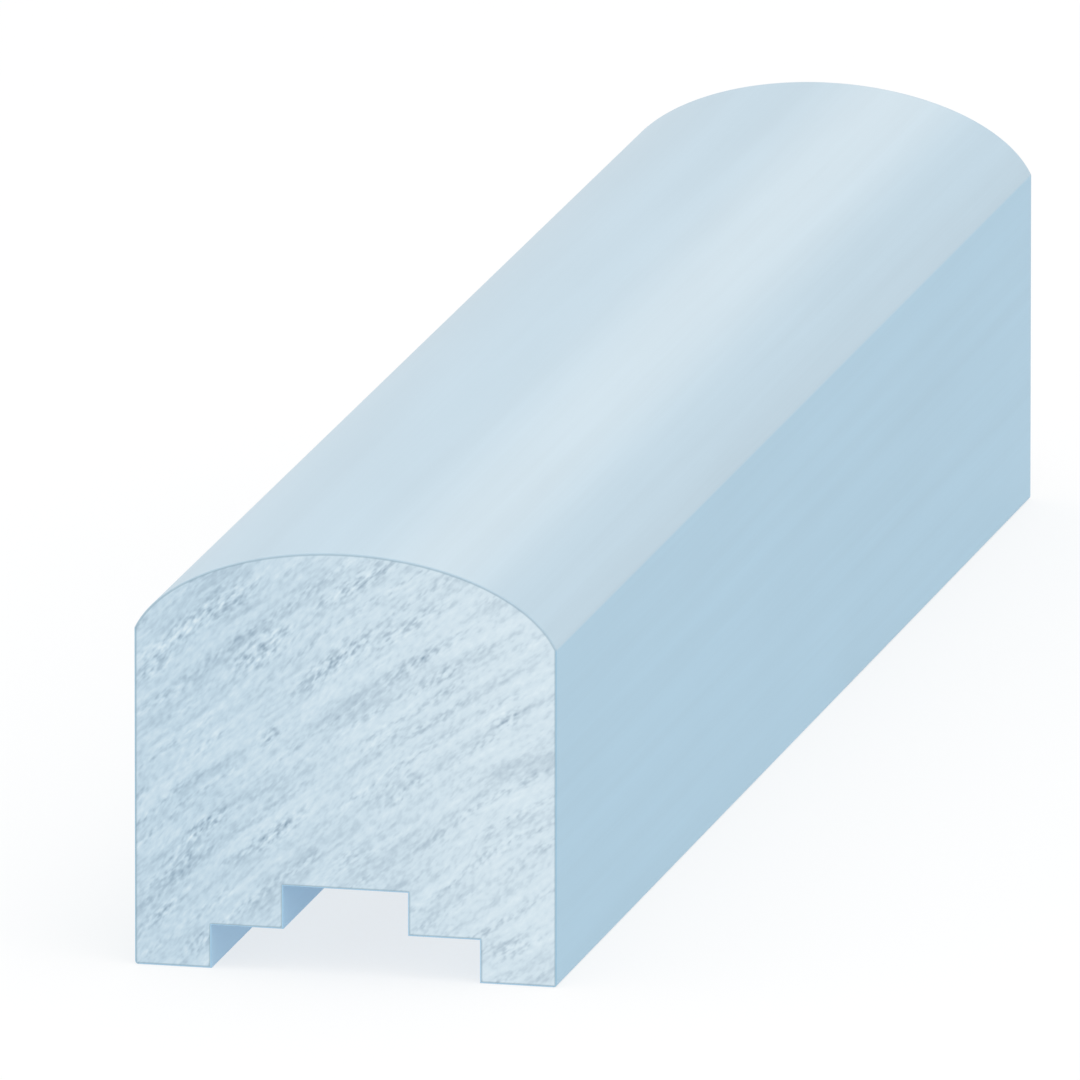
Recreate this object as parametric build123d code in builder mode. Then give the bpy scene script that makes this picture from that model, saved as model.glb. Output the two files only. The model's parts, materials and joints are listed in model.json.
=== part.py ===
"""Timber handrail: one stick of dressed timber, moulded and ploughed along its whole length.

The section is square overall. Its top is an elliptical crown that fills the palm. Its underside
has a two-step plough: a wide, shallow rebate that takes the heads of square balusters, and a
narrower groove in the middle of the rebate for a thin infill. A flat foot is left on each side.

X runs across the rail, Y along it and Z up. The origin is under the middle of the rail.
"""

import os
from math import acos, degrees

from build123d import *

# Dressed stick, sawn square at both ends
rail_width = 66.0
rail_height = 66.0
rail_length = 330.0

# Crown: the top of an ellipse that is a little wider than the rail, so that it meets each
# upright side at an arris instead of running into it
crown_rise = 17.5
crown_overrun = 1.0

# Plough in the underside: a rebate for 42 mm balusters, then a groove for a 19 mm infill
rebate_width = 42.0
rebate_depth = 6.75
groove_width = 19.5
groove_depth = 6.75

# Long arrises, taken off by sanding
shoulder_radius = 0.8
foot_radius = 0.5

# Ellipse angle at which the crown reaches the rail's side
shoulder_angle = degrees(acos(rail_width / (rail_width + 2 * crown_overrun)))

with BuildPart() as handrail:
    # Blank with upright sides and a crowned top
    with BuildSketch(Plane.XZ):
        with BuildLine():
            crown = EllipticalCenterArc(
                (0, rail_height - crown_rise),
                rail_width / 2 + crown_overrun,
                crown_rise,
                start_angle=shoulder_angle,
                arc_size=180 - 2 * shoulder_angle,
            )
            Polyline(crown @ 1, (-rail_width / 2, 0), (rail_width / 2, 0), crown @ 0)
        make_face()
    extrude(amount=rail_length / 2, both=True)

    # Plough: the rebate, and the groove above the middle of it
    with BuildSketch(Plane.XZ):
        Rectangle(rebate_width, rebate_depth, align=(Align.CENTER, Align.MIN))
        with Locations((0, rebate_depth)):
            Rectangle(groove_width, groove_depth, align=(Align.CENTER, Align.MIN))
    extrude(amount=rail_length / 2, both=True, mode=Mode.SUBTRACT)

    # Arrises: on each side of the rail the lowest long edge is the foot's and the highest is
    # the shoulder's
    sides = handrail.edges().filter_by(Axis.Y).group_by(Axis.X)
    fillet([side.sort_by(Axis.Z)[0] for side in (sides[0], sides[-1])], foot_radius)

    sides = handrail.edges().filter_by(Axis.Y).group_by(Axis.X)
    fillet([side.sort_by(Axis.Z)[-1] for side in (sides[0], sides[-1])], shoulder_radius)

handrail.part.label = "handrail"

os.makedirs("parts", exist_ok=True)
export_step(handrail.part, "parts/handrail.step")
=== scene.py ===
"""A primed pine handrail: one moulded stick with sawn ends, on a white studio floor.

The rail's section is drawn as a lattice of columns and rows. The same lattice closes both ends,
and its outline is carried along the rail for the crown, the sides and the plough.
"""

import json
import math

import bpy
import numpy as np
from mathutils import Matrix, Vector


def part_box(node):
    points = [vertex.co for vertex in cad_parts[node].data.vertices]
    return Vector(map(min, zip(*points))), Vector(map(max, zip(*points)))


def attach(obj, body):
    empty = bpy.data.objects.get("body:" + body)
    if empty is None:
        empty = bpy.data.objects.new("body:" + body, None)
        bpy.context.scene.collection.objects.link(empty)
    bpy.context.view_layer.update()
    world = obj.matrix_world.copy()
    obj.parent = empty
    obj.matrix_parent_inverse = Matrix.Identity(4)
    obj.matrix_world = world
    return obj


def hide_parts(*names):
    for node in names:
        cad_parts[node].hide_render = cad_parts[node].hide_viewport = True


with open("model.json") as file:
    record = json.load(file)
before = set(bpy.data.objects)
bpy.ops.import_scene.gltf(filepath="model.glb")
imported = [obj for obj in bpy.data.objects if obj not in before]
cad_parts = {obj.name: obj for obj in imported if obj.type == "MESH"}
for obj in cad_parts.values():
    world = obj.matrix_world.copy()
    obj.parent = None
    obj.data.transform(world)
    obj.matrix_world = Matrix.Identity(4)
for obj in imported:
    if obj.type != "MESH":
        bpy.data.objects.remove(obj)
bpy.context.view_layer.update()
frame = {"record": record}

bl_info = {
    "name": "Timber handrail",
    "version": (1, 0, 0),
    "blender": (4, 5, 0),
    "location": "View3D > Sidebar > Handrail",
    "description": "A primed pine handrail with a moulded section and sawn ends, and its stage",
    "category": "Add Mesh",
}

RAIL_LOW, RAIL_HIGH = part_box("handrail")
RAIL_SIZE = RAIL_HIGH - RAIL_LOW
SEAT_HEIGHT = {mount["name"]: mount["pos_m"][2] for mount in frame["record"]["mounts"]}
MM = 0.001

# A random field's cell that the middle of the rail lies in, so that no cell number is negative
MIDDLE_CELL = 40

# Largest turn between two faces that is still shaded as one rounded surface
SMOOTH_ANGLE = math.radians(40)

# Studio, in metres: where each lamp stands, how wide and high it is, and how far the floor reaches.
# The floor lies a hair under the feet, so that the two faces don't fight.
KEY_PLACE, KEY_SIZE = (0.35, -0.5, 1.9), (1.2, 1.2)
STRIP_PLACE, STRIP_SIZE = (-0.165, 1.89, 0.69), (0.36, 0.5)
FLOOR_REACH, FLOOR_DROP = 20.0, 0.05 * MM

# Deep tears in a sawn end, seen from outside and listed: the middle across and up, the length
# along the year rings and the width, all in mm, and the strength
DEEP_TEARS = (
    (-13.0, 50.4, 13, 5.0, 0.9),
    (-26.0, 52.2, 17, 3.8, 0.7),
    (-30.0, 47.0, 9, 3.4, 0.7),
    (-19.4, 57.1, 17, 4.4, 0.7),
    (1.8, 61.4, 19, 3.2, 0.7),
    (-1.0, 49.7, 20, 4.2, 0.8),
    (9.0, 54.6, 20, 2.8, 0.6),
    (12.3, 50.4, 20, 2.4, 0.5),
    (14.0, 47.0, 14, 2.2, 0.5),
    (25.5, 41.7, 6, 3.6, 0.6),
    (-12.0, 36.9, 5, 3.0, 0.7),
    (6.0, 37.5, 12, 4.0, 0.3),
    (7.4, 31.3, 14, 4.0, 0.3),
    (-22.2, 22.0, 12, 3.4, 0.9),
    (-11.0, 21.8, 15, 3.2, 0.8),
    (-26.3, 16.1, 15, 2.8, 0.6),
    (0.5, 18.6, 6, 2.4, 0.5),
    (23.4, 20.9, 17, 2.2, 0.5),
    (-28.8, 8.2, 10, 3.0, 0.6),
    (-22.5, 4.4, 10, 3.0, 0.6),
    (26.2, 6.0, 6, 2.8, 0.6),
)


def linear(hex_colour):
    """Linear red, green and blue of an sRGB hex colour.

    A channel up to 0.04045 is divided by 12.92. Above that, 0.055 is added, the sum is divided
    by 1.055 and raised to the power 2.4.
    """
    channels = np.array([int(hex_colour[i:i + 2], 16) for i in (1, 3, 5)]) / 255
    curved = ((channels + 0.055) / 1.055) ** 2.4
    return np.where(channels <= 0.04045, channels / 12.92, curved).tolist()


def length_property(name, description, default):
    """A length in metres."""
    return bpy.props.FloatProperty(
        name=name, description=description, default=default, unit="LENGTH", precision=5
    )


def colour_property(name, description, hex_colour):
    """A colour, written as sRGB hex and kept as linear light."""
    return bpy.props.FloatVectorProperty(
        name=name, description=description, default=linear(hex_colour), subtype="COLOR",
        min=0.0, max=1.0,
    )


def angle_property(name, description, degrees):
    """An angle, written in degrees and kept in radians."""
    return bpy.props.FloatProperty(
        name=name, description=description, default=math.radians(degrees), subtype="ANGLE"
    )


class HandrailSection(bpy.types.PropertyGroup):
    """Sizes of the moulded stick."""

    width: length_property("Width", "Across the rail, side to side", RAIL_SIZE.x)
    height: length_property("Height", "From the feet to the top of the crown", RAIL_SIZE.z)
    length: length_property("Length", "From sawn end to sawn end", RAIL_SIZE.y)
    crown_rise: length_property("Crown rise", "Upright half axis of the crown's ellipse", 17.5 * MM)
    crown_overrun: length_property(
        "Crown overrun", "How far the ellipse would pass each side, which leaves an arris", 1.0 * MM
    )
    rebate_width: length_property("Rebate width", "Takes the heads of square balusters", 42.0 * MM)
    rebate_top: length_property(
        "Rebate top", "Height of the rebate's seat above the feet", SEAT_HEIGHT["left_rebate_seat"]
    )
    groove_width: length_property("Groove width", "Takes a thin infill", 19.5 * MM)
    groove_top: length_property(
        "Groove top", "Height of the groove's seat above the feet", SEAT_HEIGHT["groove_seat"]
    )
    foot_radius: length_property("Foot radius", "Rounding of a foot's long outer edge", 0.5 * MM)
    rim_radius: length_property("Rim radius", "Sanded rounding of the edge of each end", 0.2 * MM)
    step: length_property("Step", "Largest spacing of the lattice on the ends", 0.4 * MM)


class HandrailTimber(bpy.types.PropertyGroup):
    """How the tree grew and how the ends were sawn."""

    pith_across: length_property("Pith across", "From the rail's middle to the heart", 420 * MM)
    pith_up: length_property("Pith up", "From the feet to the heart", -540 * MM)
    ring_width: length_property("Ring width", "One year's growth", 3.2 * MM)
    relief: length_property("Relief", "Deepest tear that the saw leaves in an end", 0.12 * MM)
    seed: bpy.props.IntProperty(
        name="Seed", description="Another number gives another stick of the same timber", default=4
    )


class HandrailFinish(bpy.types.PropertyGroup):
    """Colours of the primer and the sawn ends, and of the painted light and shade on them."""

    primer: colour_property("Primer", "Primer on the sides", "#9EC4DA")
    # Painted shade: the plough's colour is a lighter, bluer copy of the primer, which lifts the shaded
    # plough and gives its shade a blue cast
    plough_painted_shade: colour_property("Plough, painted shade", "Full coat of primer in the plough", "#A9CFE8")
    # Painted light: the crown's colour is a paler, greyer copy of the primer, for the light and sheen
    # on the top
    crown_painted_light: colour_property("Crown, painted light", "Primer sanded back on the crown", "#AFC6D4")
    # Painted shading: the end's colour runs from the darker left colour to the lighter right one across
    # the section
    end_left_painted_shade: colour_property("End, cool", "End grain on the left of the section", "#C4DAE8")
    end_right_painted_light: colour_property("End, pale", "End grain on the right of the section", "#D4E5EF")
    end_dark: colour_property("End, dark", "Tears and late wood in the end grain", "#62809A")
    end_light: colour_property("End, light", "Lifted fibres that catch the light", "#EEFAFF")
    end_edge: colour_property("End edge", "Primer that has run over the edge of an end", "#8FABBA")


class HandrailStage(bpy.types.PropertyGroup):
    """Camera, floor and lamps."""

    azimuth: angle_property("Azimuth", "Camera's turn to the right of the front end", 13.186)
    elevation: angle_property("Elevation", "Camera's height above the horizon", 13.434)
    distance: length_property("Distance", "From the camera to the middle of the rail", 7.455)
    aim_right: length_property("Aim right", "Sideways offset of the camera's aim", -8.04 * MM)
    aim_up: length_property("Aim up", "Upward offset of the camera's aim", -3.09 * MM)
    lens: bpy.props.FloatProperty(
        name="Lens", description="Very long, because the view is nearly parallel", default=1600.0
    )
    fill: colour_property("Fill", "Soft light from all round", "#FFFFFF")
    floor: colour_property("Floor", "Pale floor, as it lights the rail", "#595959")
    floor_glow: bpy.props.FloatProperty(
        name="Floor glow", description="Light that comes up through the floor", default=0.75
    )
    floor_seen: colour_property("Floor seen", "Pale floor, as the camera sees it", "#8B8B8B")
    floor_seen_glow: bpy.props.FloatProperty(
        name="Floor glow seen", description="Glow of the floor, as the camera sees it", default=0.71
    )
    strip: colour_property("Strip", "Colour of the panel behind the rail", "#FFE2C2")
    key_brightness: bpy.props.FloatProperty(
        name="Key brightness", description="Brightness of the lamp overhead, 1 is white", default=1.7
    )
    strip_brightness: bpy.props.FloatProperty(
        name="Strip brightness", description="Brightness of the panel behind the rail", default=1.3
    )


def wander(a, b, seed):
    """A smooth random field from 0 to 1 over the plane of a and b, with a cell size of 1.

    Seeded random values stand on a square lattice. Between them the field eases along each
    axis by three times the square less twice the cube of the distance into the cell.
    """
    cells = 128
    lattice = np.random.default_rng(seed).random((cells, cells))
    column, row = np.floor(a).astype(int), np.floor(b).astype(int)
    s, t = a - column, b - row
    s, t = s * s * (3 - 2 * s), t * t * (3 - 2 * t)
    corner = {
        (m, n): lattice[(column + m) % cells, (row + n) % cells] for m in (0, 1) for n in (0, 1)
    }
    lower = corner[0, 0] * (1 - s) + corner[1, 0] * s
    upper = corner[0, 1] * (1 - s) + corner[1, 1] * s
    return lower * (1 - t) + upper * t


def ease(value, start, end):
    """0 before start, 1 after end, and a smooth step between them."""
    share = np.clip((value - start) / (end - start), 0, 1)
    return share * share * (3 - 2 * share)


def crown_height(x, section, inset):
    """Height of the crown over x: an ellipse's upper half, drawn in by inset on both axes."""
    across = section.width / 2 + section.crown_overrun - inset
    rise = section.crown_rise - inset
    return section.height - section.crown_rise + rise * np.sqrt(1 - (x / across) ** 2)


class SectionLattice:
    """The rail's section as columns across and rows up, with the cells inside the plough left out.

    Columns and the lower rows are spaced evenly between the section's own corners. The upper
    rows share out the height from the groove's top to the crown over each column.
    """

    def __init__(self, section):
        self.section = section
        half, foot = section.width / 2, section.foot_radius
        runs = [foot, half - foot - section.rebate_width / 2,
                (section.rebate_width - section.groove_width) / 2]
        self.column_knots = self.knots([*runs, section.groove_width, *runs[::-1]])
        self.row_knots = self.knots(
            [foot, section.rebate_top - foot, section.groove_top - section.rebate_top]
        )
        self.upper_rows = math.ceil((section.height - section.groove_top) / section.step)
        self.columns = self.column_knots[-1] + 1
        self.rows = self.row_knots[-1] + self.upper_rows + 1

    def knots(self, runs):
        """Column or row number at the ends of successive runs, so that no step is too long."""
        counts = [math.ceil(run / self.section.step) for run in runs]
        return np.concatenate([[0], np.cumsum(counts)])

    def places(self, inset):
        """x and z of every lattice point, for the section drawn in by inset all round.

        The outer edge of a foot is a quarter circle: along the sole the angle goes from 0 to 45
        degrees, and up the side from 45 to 90.
        """
        s = self.section
        half, foot = s.width / 2, s.foot_radius
        right = [s.groove_width / 2 + inset, s.rebate_width / 2 + inset, half - foot, half - inset]
        across = np.interp(
            np.arange(self.columns), self.column_knots, [-x for x in right[::-1]] + right
        )
        low = np.interp(
            np.arange(self.row_knots[-1] + 1),
            self.row_knots,
            [inset, foot, s.rebate_top + inset, s.groove_top + inset],
        )
        share = np.arange(1, self.upper_rows + 1) / self.upper_rows
        crown = crown_height(across, s, inset)
        upper = low[-1] + share * (crown[:, None] - low[-1])
        x = np.repeat(across[:, None], self.rows, axis=1)
        z = np.concatenate([np.tile(low, (self.columns, 1)), upper], axis=1)

        radius = foot - inset
        sole = np.radians(45) * np.clip((np.abs(x[:, 0]) - half + foot) / radius, 0, 1)
        z[:, 0] = foot - radius * np.cos(sole)
        on_arc = sole > 0
        x[on_arc, 0] = np.sign(x[on_arc, 0]) * (half - foot + radius * np.sin(sole[on_arc]))
        rise = np.radians(90 - 45 * np.clip((foot - low) / radius, 0, 1))
        for side, sign in ((0, -1), (-1, 1)):
            x[side, :len(low)] = sign * (half - foot + radius * np.sin(rise))
            z[side, :len(low)] = np.where(low < foot, foot - radius * np.cos(rise), low)
        return x, z

    def cells(self):
        """Corners of the cells that are timber, each cell's corners in turn seen from the front."""
        number = np.arange(self.columns * self.rows).reshape(self.columns, self.rows)
        corners = np.stack(
            [number[:-1, :-1], number[1:, :-1], number[1:, 1:], number[:-1, 1:]], axis=-1
        )
        first = np.repeat(
            [0, 0, self.row_knots[2], self.row_knots[3], self.row_knots[2], 0, 0],
            np.diff(self.column_knots),
        )
        timber = np.arange(self.rows - 1)[None, :] >= first[:, None]
        return corners[timber]

    def outline(self):
        """Lattice points round the section: soles and plough from left to right, then up the
        right side, back over the crown and down the left side."""
        number = np.arange(self.columns * self.rows).reshape(self.columns, self.rows)
        left, _, inner_left, groove_left, groove_right, inner_right, _, right = self.column_knots
        rebate, groove, top = self.row_knots[2], self.row_knots[3], self.rows - 1
        return np.concatenate([
            number[left:inner_left, 0],
            number[inner_left, 0:rebate],
            number[inner_left:groove_left, rebate],
            number[groove_left, rebate:groove],
            number[groove_left:groove_right, groove],
            number[groove_right, groove:rebate:-1],
            number[groove_right:inner_right, rebate],
            number[inner_right, rebate:0:-1],
            number[inner_right:right, 0],
            number[right, 0:top],
            number[right:left:-1, top],
            number[left, top:0:-1],
        ])


def growth(x, y, z, timber):
    """How far a point lies from the tree's heart, and in which year's growth, counted in rings.

    The count is the distance from the heart over the ring width. A sine makes good and poor
    years, and two smooth random fields let the rings waver round the tree and along the stick.
    """
    waver, waver_size = 1.1 * MM, 11 * MM
    drift, drift_along, drift_across = 2.5 * MM, 130 * MM, 60 * MM
    swing, swing_years = 0.4, 2.1
    away = np.hypot(x - timber.pith_across, z - timber.pith_up)
    round_tree = wander(x / waver_size + MIDDLE_CELL, z / waver_size + MIDDLE_CELL, timber.seed)
    away = away + waver * (round_tree - 0.5)
    along_stick = wander(y / drift_along + MIDDLE_CELL, x / drift_across + MIDDLE_CELL, timber.seed + 1)
    away = away + drift * (along_stick - 0.5)
    year = away / timber.ring_width + swing * np.sin(away / (swing_years * timber.ring_width))
    return away, year


def ring_length(x, z, timber):
    """Distance along the rings: the angle round the tree's heart times its distance."""
    reach = math.hypot(timber.pith_across, timber.pith_up)
    return reach * np.arctan2(x - timber.pith_across, z - timber.pith_up)


def late_wood(year):
    """The hard late wood of a ring: it comes on slowly from 0.35 of a year and stops at its end."""
    season = year - np.floor(year)
    return ease(season, 0.35, 0.85) * (1 - ease(season, 0.92, 1.0))


def edge_distance(x, z, section):
    """Distance from a point of the section to its outline.

    It is the least of the distances to the two sides, the soles, the crown (the height below
    it times the cosine of its slope) and the rebate and groove, each taken as a box.
    """
    across = section.width / 2 + section.crown_overrun
    reach = np.clip(x / across, -0.99, 0.99)
    slope = section.crown_rise / across * reach / np.sqrt(1 - reach ** 2)
    crown = (crown_height(reach * across, section, 0) - z) / np.hypot(1, slope)
    sides = section.width / 2 - np.abs(x)
    plough = [
        np.hypot(np.maximum(np.abs(x) - width / 2, 0), np.maximum(z - top, 0))
        for width, top in (
            (section.rebate_width, section.rebate_top),
            (section.groove_width, section.groove_top),
        )
    ]
    return np.minimum.reduce([crown, sides, z, *plough])


def torn_grain(along, away, year, y, timber, seed):
    """Where the saw tore the end grain, from 0 to 1.

    A deep tear is an oval that lies along the rings, full in its middle and gone at 1.3 of its
    half length and half width. Between the tears the late wood is torn lightly, in patches of a
    smooth random field.
    """
    patch_length, patch_width, light = 7 * MM, 2.4 * MM, 0.35
    patch = wander(along / patch_length + MIDDLE_CELL, away / patch_width, seed)
    torn = light * ease(patch, 0.4, 0.8) * late_wood(year)
    for across, up, length, width, strength in DEEP_TEARS:
        x, z = np.float64(-np.sign(y) * across * MM), np.float64(up * MM)
        middle, _ = growth(x, y, z, timber)
        off_along = (along - ring_length(x, z, timber)) / (length * MM / 2)
        off_away = (away - middle) / (width * MM / 2)
        oval = 1 - ease(np.hypot(off_along, off_away), 0.0, 1.3)
        torn = np.maximum(torn, strength * oval)
    return torn


def end_depth(along, away, year, edge, torn, relief, seed):
    """Depth of the sawn end below its plane.

    Early wood is softer and lies lower than late wood, tears go deeper, and a fine random field
    roughens both. Each has its share of the relief. The whole dies away towards the outline.
    """
    scratch_length, scratch_width = 2.6 * MM, 0.8 * MM
    early_share, scratch_share, torn_share = 0.2, 0.25, 0.55
    level, full = 0.2 * MM, 1.0 * MM
    scratch = wander(along / scratch_length + MIDDLE_CELL, away / scratch_width, seed + 2)
    torn = torn * ease(scratch, 0.5, 0.8)
    early = 1 - late_wood(year)
    depth = relief * (early_share * early + scratch_share * scratch + torn_share * torn)
    return depth * ease(edge, level, full)


def rail_surface(section, timber):
    """Points, faces, material numbers and point attributes of the whole rail.

    Each end is the lattice drawn in by the rim radius. A quarter circle of rings turns its
    outline over the edge, and the full outline is carried along Y between the two ends. The
    stations crowd towards the ends as the cosine of even steps round half a circle.
    """
    lattice = SectionLattice(section)
    cells, outline = lattice.cells(), lattice.outline()
    rim, end = section.rim_radius, section.length / 2
    turn = np.radians([60, 30, 0])
    station_steps = 16
    stations = -np.cos(np.linspace(0, np.pi, station_steps + 1)[1:-1]) * (end - 2 * rim)
    front = np.concatenate([-end + rim * (1 - np.sin(turn)), [-end + 2 * rim]])
    y_rings = np.concatenate([front, stations, -front[::-1]])
    inset_front = np.concatenate([rim * (1 - np.cos(turn)), [0]])
    inset_rings = np.concatenate([inset_front, 0 * stations, inset_front[::-1]])

    x_end, z_end = (grid.ravel() for grid in lattice.places(rim))
    used = np.unique(cells)
    renumber = np.zeros(lattice.columns * lattice.rows, int)
    renumber[used] = np.arange(len(used))
    cells, loop = renumber[cells], renumber[outline]
    x_end, z_end = x_end[used], z_end[used]

    ends, tears = [], []
    along = ring_length(x_end, z_end, timber)
    edge = edge_distance(x_end, z_end, section)
    for sign, seed in ((-1, timber.seed + 10), (1, timber.seed + 20)):
        away, year = growth(x_end, sign * end, z_end, timber)
        torn = torn_grain(along, away, year, sign * end, timber, seed)
        depth = end_depth(along, away, year, edge, torn, timber.relief, seed)
        depth[loop] = 0
        ends.append(np.stack([x_end, sign * (end - depth), z_end], axis=1))
        tears.append(torn)
    rings = []
    for y, inset in zip(y_rings, inset_rings):
        x, z = (grid.ravel()[outline] for grid in lattice.places(inset))
        rings.append(np.stack([x, np.full(len(x), y), z], axis=1))
    points = np.concatenate([*ends, *rings])

    first_ring = 2 * len(used)
    ring_number = first_ring + np.arange(len(rings) * len(loop)).reshape(len(rings), len(loop))
    bands = np.concatenate([loop[None], ring_number, loop[None] + len(used)])
    ahead = np.roll(bands, -1, axis=1)
    sweep = np.stack([bands[:-1], bands[1:], ahead[1:], ahead[:-1]], axis=-1).reshape(-1, 4)
    faces = np.concatenate([cells, cells[:, ::-1] + len(used), sweep])
    slots = np.concatenate([np.ones(2 * len(cells), int), np.zeros(len(sweep), int)])

    x, y, z = points.T
    away, year = growth(x, y, z, timber)
    attributes = {
        "year": year,
        "away": away,
        "along": ring_length(x, z, timber),
        "torn": np.concatenate([*tears, np.zeros(len(points) - first_ring)]),
        "edge": edge_distance(x, z, section),
    }
    return points, faces, slots, attributes


def add_node(tree, kind, inputs, **settings):
    """Add a shader node and give its outputs: settings are the node's own, and inputs are values
    or other nodes' outputs."""
    node = tree.nodes.new("ShaderNode" + kind)
    for name, value in settings.items():
        setattr(node, name, value)
    for name, value in inputs.items():
        if isinstance(value, bpy.types.NodeSocket):
            tree.links.new(value, node.inputs[name])
        else:
            node.inputs[name].default_value = value
    return node.outputs


def new_material(name):
    """A material with no nodes yet, and its tree."""
    material = bpy.data.materials.new(name)
    material.use_nodes = True
    material.node_tree.nodes.clear()
    return material, material.node_tree


def primed_pine(finish, section):
    """Planed pine under a thin factory primer, rolled on: an even satin, in which the year rings
    show as faint stripes and the fibres lift the film a little along the stick. The crown, up to
    the arris, carries painted light: a paler, greyer tone than the sides. The plough carries
    painted shade: a lighter, bluer tone that lifts its shade and gives it a blue cast."""
    material, tree = new_material("primed_planed_pine")
    place = add_node(tree, "TexCoord", {})["Object"]
    axes = add_node(tree, "SeparateXYZ", {0: place})
    year = add_node(tree, "Attribute", {}, attribute_name="year")["Fac"]
    rings = add_node(tree, "CombineXYZ", {"X": year, "Y": axes["Y"]})[0]

    # Fibres lie along the stick. Real ones are 0.04 mm wide, drawn ten times as coarse to show.
    # The roller leaves the film thicker and thinner over long patches about 20 mm wide. The
    # stripes of the year rings are counted in years across and run 250 mm before they change.
    noise = {}
    for name, pattern, size, detail in (
        ("fibre", place, (0.4 * MM, 45 * MM, 0.4 * MM), 2.0),
        ("film", place, (18 * MM, 60 * MM, 18 * MM), 2.0),
        ("stripe", rings, (0.9, 250 * MM, 1), 3.0),
    ):
        where = add_node(
            tree, "Mapping", {"Vector": pattern, "Scale": size}, vector_type="TEXTURE"
        )[0]
        noise[name] = add_node(
            tree, "TexNoise", {"Vector": where, "Scale": 1.0, "Detail": detail}
        )["Fac"]

    # The crown's painted light starts at the arris, and the plough's painted shade a hair inside the
    # sides
    blend = 0.2 * MM
    arris = float(crown_height(section.width / 2, section, 0))
    inside = section.width / 2 - section.foot_radius
    reach = add_node(tree, "Math", {0: axes["X"]}, operation="ABSOLUTE")[0]
    colour = (*finish.primer, 1)
    for value, start, end, top in (
        (reach, inside, inside - blend, finish.plough_painted_shade),
        (axes["Z"], arris - blend, arris + blend, finish.crown_painted_light),
    ):
        share = add_node(tree, "MapRange", {"Value": value, "From Min": start, "From Max": end})[0]
        colour = add_node(tree, "Mix", {0: share, 6: colour, 7: (*top, 1)}, data_type="RGBA")[2]

    # The coat is darkest where it is thinnest, and each pattern adds its share
    coat = 0.885
    for name, share in (("film", 0.06), ("fibre", 0.04), ("stripe", 0.12)):
        coat = add_node(
            tree, "Math", {0: noise[name], 1: share, 2: coat}, operation="MULTIPLY_ADD"
        )[0]
    colour = add_node(tree, "VectorMath", {0: colour, "Scale": coat}, operation="SCALE")[0]
    bump = add_node(
        tree, "Bump", {"Strength": 0.2, "Distance": 0.02 * MM, "Height": noise["fibre"]}
    )[0]
    shader = add_node(
        tree,
        "BsdfPrincipled",
        {"Base Color": colour, "Roughness": 0.38, "Normal": bump, "IOR": 1.42},
    )[0]
    add_node(tree, "OutputMaterial", {"Surface": shader})
    return material


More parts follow.
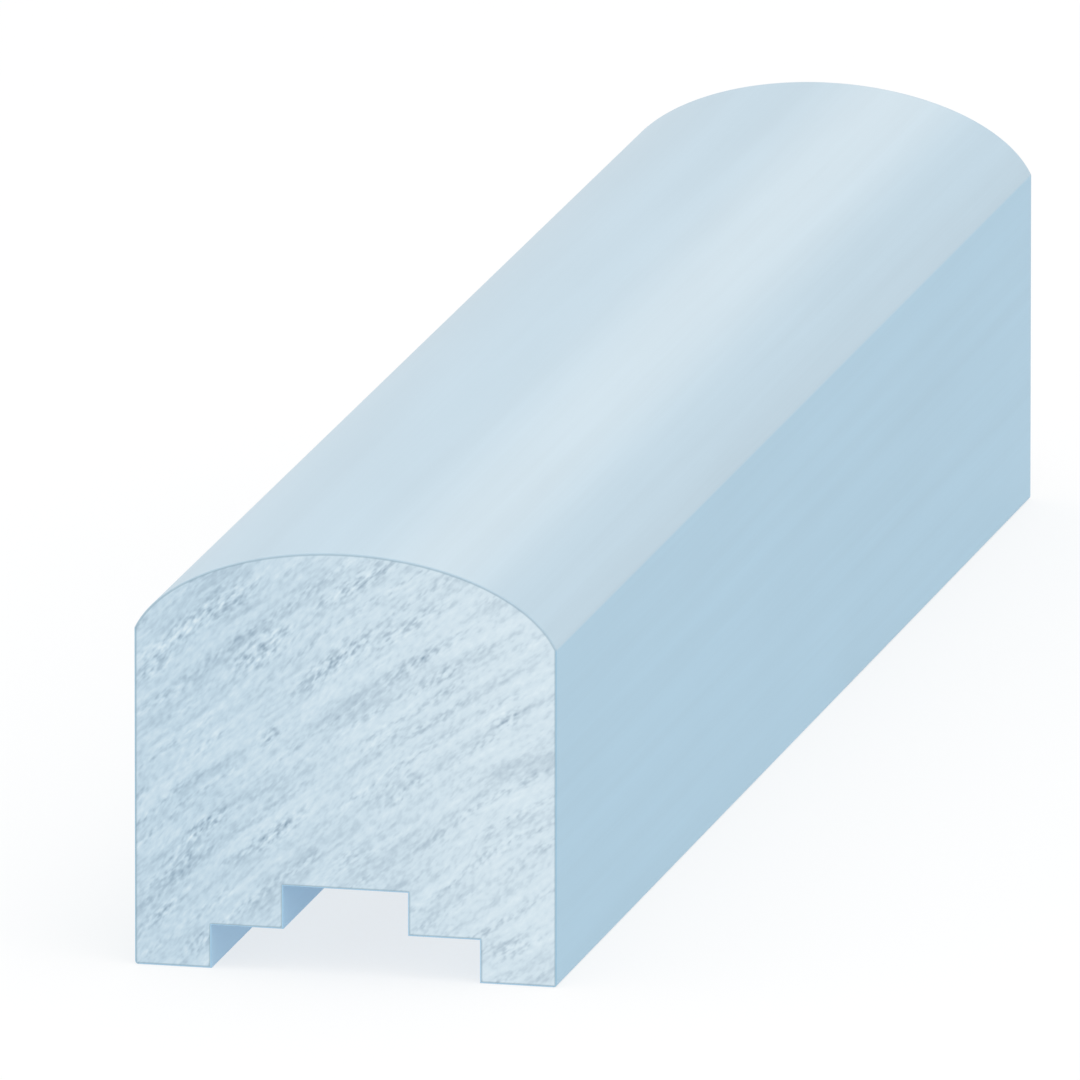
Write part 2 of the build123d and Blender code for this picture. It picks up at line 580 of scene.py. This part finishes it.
def sawn_end_grain(finish, section):
    """Pine cut across the grain by a coarse saw and washed with thinned primer: pale, dull and
    absorbent, mottled where the wash pooled. Where the saw tore the hard late wood, rows of dark
    specks run along the rings. Full primer has run over the edge from the faces."""
    material, tree = new_material("sawn_pine_end_grain")
    place = add_node(tree, "TexCoord", {})["Object"]
    axes = add_node(tree, "SeparateXYZ", {0: place})
    away, along, torn, edge = (
        add_node(tree, "Attribute", {}, attribute_name=name)["Fac"]
        for name in ("away", "along", "torn", "edge")
    )
    rings = add_node(tree, "CombineXYZ", {"X": along, "Y": axes["Y"], "Z": away})[0]

    # Length and width in mm of what runs with the rings: wash that soaked in, scratches of the
    # saw, pooled wash and torn fibres. The pools and the fibres lean 12 degrees from the rings.
    # Real fibres are 0.04 mm wide, drawn as coarse as they need to show.
    noise = {}
    for name, length, width, lean, detail in (
        ("soaked", 20.0, 2.4, 0, 1.0),
        ("scratch", 12.0, 1.0, 0, 1.5),
        ("pooled", 1.8, 1.5, 12, 1.0),
        ("fibre", 1.3, 0.55, 12, 1.0),
    ):
        size = (length * MM, 20 * MM, width * MM)
        where = add_node(
            tree,
            "Mapping",
            {"Vector": rings, "Rotation": (0, -math.radians(lean), 0), "Scale": size},
            vector_type="TEXTURE",
        )[0]
        noise[name] = add_node(
            tree, "TexNoise", {"Vector": where, "Scale": 1.0, "Detail": detail}
        )["Fac"]

    # Tone: the patterns added up, with the fibres standing out, and a little darker, where the
    # saw tore
    calm_contrast, torn_contrast, torn_shade = 0.38, 1.2, -0.12
    contrast = add_node(
        tree, "Math", {0: torn, 1: torn_contrast, 2: calm_contrast}, operation="MULTIPLY_ADD"
    )[0]
    fibre = add_node(tree, "Math", {0: noise["fibre"], 1: 0.5}, operation="SUBTRACT")[0]
    tone = add_node(tree, "Math", {0: fibre, 1: contrast}, operation="MULTIPLY")[0]
    shares = {"soaked": 0.4, "scratch": 0.32, "pooled": 0.12}
    for name, share in shares.items():
        tone = add_node(
            tree, "Math", {0: noise[name], 1: share, 2: tone}, operation="MULTIPLY_ADD"
        )[0]
    tone = add_node(tree, "Math", {0: torn, 1: torn_shade, 2: tone}, operation="MULTIPLY_ADD")[0]
    even = 0.5 * sum(shares.values())

    # Colour: painted shading runs from darker on the left to lighter on the right over the middle of
    # the section, the tone takes it to dark or light, and the primer's run is strongest at the edge
    third = section.width / 3
    dark_reach, light_reach = 0.6, 0.5
    run_start, run_full, run_share = 0.45 * MM, 0.22 * MM, 0.75
    colour = (*finish.end_left_painted_shade, 1)
    for value, start, end, most, top in (
        (axes["X"], -third, third, 1.0, finish.end_right_painted_light),
        (tone, even, even - dark_reach, 1.0, finish.end_dark),
        (tone, even, even + light_reach, 1.0, finish.end_light),
        (edge, run_start, run_full, run_share, finish.end_edge),
    ):
        share = add_node(
            tree, "MapRange", {"Value": value, "From Min": start, "From Max": end, "To Max": most}
        )[0]
        colour = add_node(tree, "Mix", {0: share, 6: colour, 7: (*top, 1)}, data_type="RGBA")[2]

    bump = add_node(tree, "Bump", {"Strength": 0.3, "Distance": 0.1 * MM, "Height": tone})[0]
    shader = add_node(
        tree,
        "BsdfPrincipled",
        {"Base Color": colour, "Roughness": 0.85, "Normal": bump, "IOR": 1.45},
    )[0]
    add_node(tree, "OutputMaterial", {"Surface": shader})
    return material


def studio_floor(stage):
    """Matt white acrylic with a little light coming up through it, as on a product table. To the
    eye, and in a reflection, it is as white as the background, less the rail's soft shadow."""
    material, tree = new_material("studio_floor")
    path = add_node(tree, "LightPath", {})
    seen = path["Is Camera Ray"]
    for ray in ("Is Glossy Ray", "Is Transmission Ray"):
        seen = add_node(tree, "Math", {0: seen, 1: path[ray]}, operation="MAXIMUM")[0]
    shaders = []
    for matt, glow in ((stage.floor, stage.floor_glow), (stage.floor_seen, stage.floor_seen_glow)):
        diffuse = add_node(tree, "BsdfDiffuse", {"Color": (*matt, 1)})[0]
        light = add_node(tree, "Emission", {"Color": (1, 1, 1, 1), "Strength": glow})[0]
        shaders.append(add_node(tree, "AddShader", {0: diffuse, 1: light})[0])
    shader = add_node(tree, "MixShader", {0: seen, 1: shaders[0], 2: shaders[1]})[0]
    add_node(tree, "OutputMaterial", {"Surface": shader})
    return material


def studio_world(stage):
    """Soft white light from all round, which is also the background."""
    world = bpy.data.worlds.new("studio_light")
    world.use_nodes = True
    tree = world.node_tree
    tree.nodes.clear()
    shader = add_node(tree, "Background", {"Color": (*stage.fill, 1), "Strength": 1.0})[0]
    add_node(tree, "OutputWorld", {"Surface": shader})
    return world


def soft_lamp(name, place, aim, size, colour, brightness):
    """An oblong soft lamp. Its power is its brightness, where 1 is white, times pi and its area."""
    place, aim = Vector(place), Vector(aim)
    lamp = bpy.data.lights.new(name, "AREA")
    lamp.shape = "RECTANGLE"
    lamp.size, lamp.size_y = size
    lamp.energy = brightness * math.pi * size[0] * size[1]
    lamp.color = colour
    turn = (aim - place).to_track_quat("-Z", "Y")
    holder = bpy.data.objects.new(name, lamp)
    holder.matrix_world = Matrix.Translation(place) @ turn.to_matrix().to_4x4()
    holder.visible_camera = False
    bpy.context.scene.collection.objects.link(holder)
    return holder


class HANDRAIL_OT_make_rail(bpy.types.Operator):
    """Make the moulded, primed rail with its two sawn ends"""

    bl_idname = "handrail.make_rail"
    bl_label = "Make rail"

    def execute(self, context):
        section, timber = context.scene.handrail_section, context.scene.handrail_timber
        finish = context.scene.handrail_finish
        points, faces, slots, attributes = rail_surface(section, timber)
        low, high = points.min(axis=0), points.max(axis=0)
        spill = max((np.array(RAIL_LOW) - low).max(), (high - np.array(RAIL_HIGH)).max())
        slack = 0.01 * MM
        if spill > slack:
            raise RuntimeError(f"The rail leaves its CAD box by {spill / MM:.3f} mm")

        mesh = bpy.data.meshes.new("primed_rail")
        mesh.from_pydata(points, [], faces)
        mesh.materials.append(primed_pine(finish, section))
        mesh.materials.append(sawn_end_grain(finish, section))
        mesh.polygons.foreach_set("material_index", slots)
        for name, values in attributes.items():
            mesh.attributes.new(name, "FLOAT", "POINT").data.foreach_set("value", values)
        mesh.shade_smooth()
        mesh.set_sharp_from_angle(angle=SMOOTH_ANGLE)
        mesh.update()
        if mesh.validate():
            raise RuntimeError("The rail's mesh has broken faces")

        rail = bpy.data.objects.new("primed_rail", mesh)
        context.scene.collection.objects.link(rail)
        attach(rail, "root")
        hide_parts("handrail")
        return {"FINISHED"}


class HANDRAIL_OT_set_stage(bpy.types.Operator):
    """Set the floor, the lamps and the camera"""

    bl_idname = "handrail.set_stage"
    bl_label = "Set stage"

    def execute(self, context):
        scene, stage = context.scene, context.scene.handrail_stage
        scene.view_settings.view_transform = "Standard"
        scene.world = studio_world(stage)

        corners = [
            (x * FLOOR_REACH, y * FLOOR_REACH, -FLOOR_DROP)
            for x, y in ((-1, -1), (1, -1), (1, 1), (-1, 1))
        ]
        mesh = bpy.data.meshes.new("floor")
        mesh.from_pydata(corners, [], [(0, 1, 2, 3)])
        mesh.materials.append(studio_floor(stage))
        floor = bpy.data.objects.new("floor", mesh)
        scene.collection.objects.link(floor)

        middle = (RAIL_LOW + RAIL_HIGH) / 2
        soft_lamp("key_lamp", KEY_PLACE, middle, KEY_SIZE, stage.fill, stage.key_brightness)
        soft_lamp("strip_lamp", STRIP_PLACE, middle, STRIP_SIZE, stage.strip, stage.strip_brightness)

        turn, rise = stage.azimuth, stage.elevation
        back = Vector((
            math.sin(turn) * math.cos(rise), -math.cos(turn) * math.cos(rise), math.sin(rise)
        ))
        right = Vector((math.cos(turn), math.sin(turn), 0))
        up = back.cross(right)
        aim = middle + right * stage.aim_right + up * stage.aim_up
        camera = bpy.data.cameras.new("camera")
        camera.lens = stage.lens
        camera.sensor_width = 36.0
        camera.clip_start, camera.clip_end = 0.1, 100.0
        holder = bpy.data.objects.new("camera", camera)
        holder.matrix_world = Matrix((
            (right.x, up.x, back.x, aim.x + back.x * stage.distance),
            (right.y, up.y, back.y, aim.y + back.y * stage.distance),
            (right.z, up.z, back.z, aim.z + back.z * stage.distance),
            (0, 0, 0, 1),
        ))
        scene.collection.objects.link(holder)
        scene.camera = holder
        return {"FINISHED"}


class HANDRAIL_PT_sidebar(bpy.types.Panel):
    """Sizes and colours of the handrail, and the buttons that make it"""

    bl_label = "Handrail"
    bl_idname = "HANDRAIL_PT_sidebar"
    bl_space_type = "VIEW_3D"
    bl_region_type = "UI"
    bl_category = "Handrail"

    def draw(self, context):
        for name, operator in (
            ("handrail_section", None),
            ("handrail_timber", None),
            ("handrail_finish", HANDRAIL_OT_make_rail),
            ("handrail_stage", HANDRAIL_OT_set_stage),
        ):
            group = getattr(context.scene, name)
            column = self.layout.column()
            for key in group.__annotations__:
                column.prop(group, key)
            if operator:
                column.operator(operator.bl_idname)


GROUPS = {
    "handrail_section": HandrailSection,
    "handrail_timber": HandrailTimber,
    "handrail_finish": HandrailFinish,
    "handrail_stage": HandrailStage,
}
CLASSES = (*GROUPS.values(), HANDRAIL_OT_make_rail, HANDRAIL_OT_set_stage, HANDRAIL_PT_sidebar)


def register():
    """Register the classes and hang each group of values on the scene."""
    for cls in CLASSES:
        bpy.utils.register_class(cls)
    for name, group in GROUPS.items():
        setattr(bpy.types.Scene, name, bpy.props.PointerProperty(type=group))


def unregister():
    """Take the groups off the scene and unregister the classes."""
    for name in GROUPS:
        delattr(bpy.types.Scene, name)
    for cls in reversed(CLASSES):
        bpy.utils.unregister_class(cls)


def main():
    """Make the rail and its stage."""
    register()
    bpy.ops.handrail.make_rail()
    bpy.ops.handrail.set_stage()


if __name__ == "__main__":
    main()
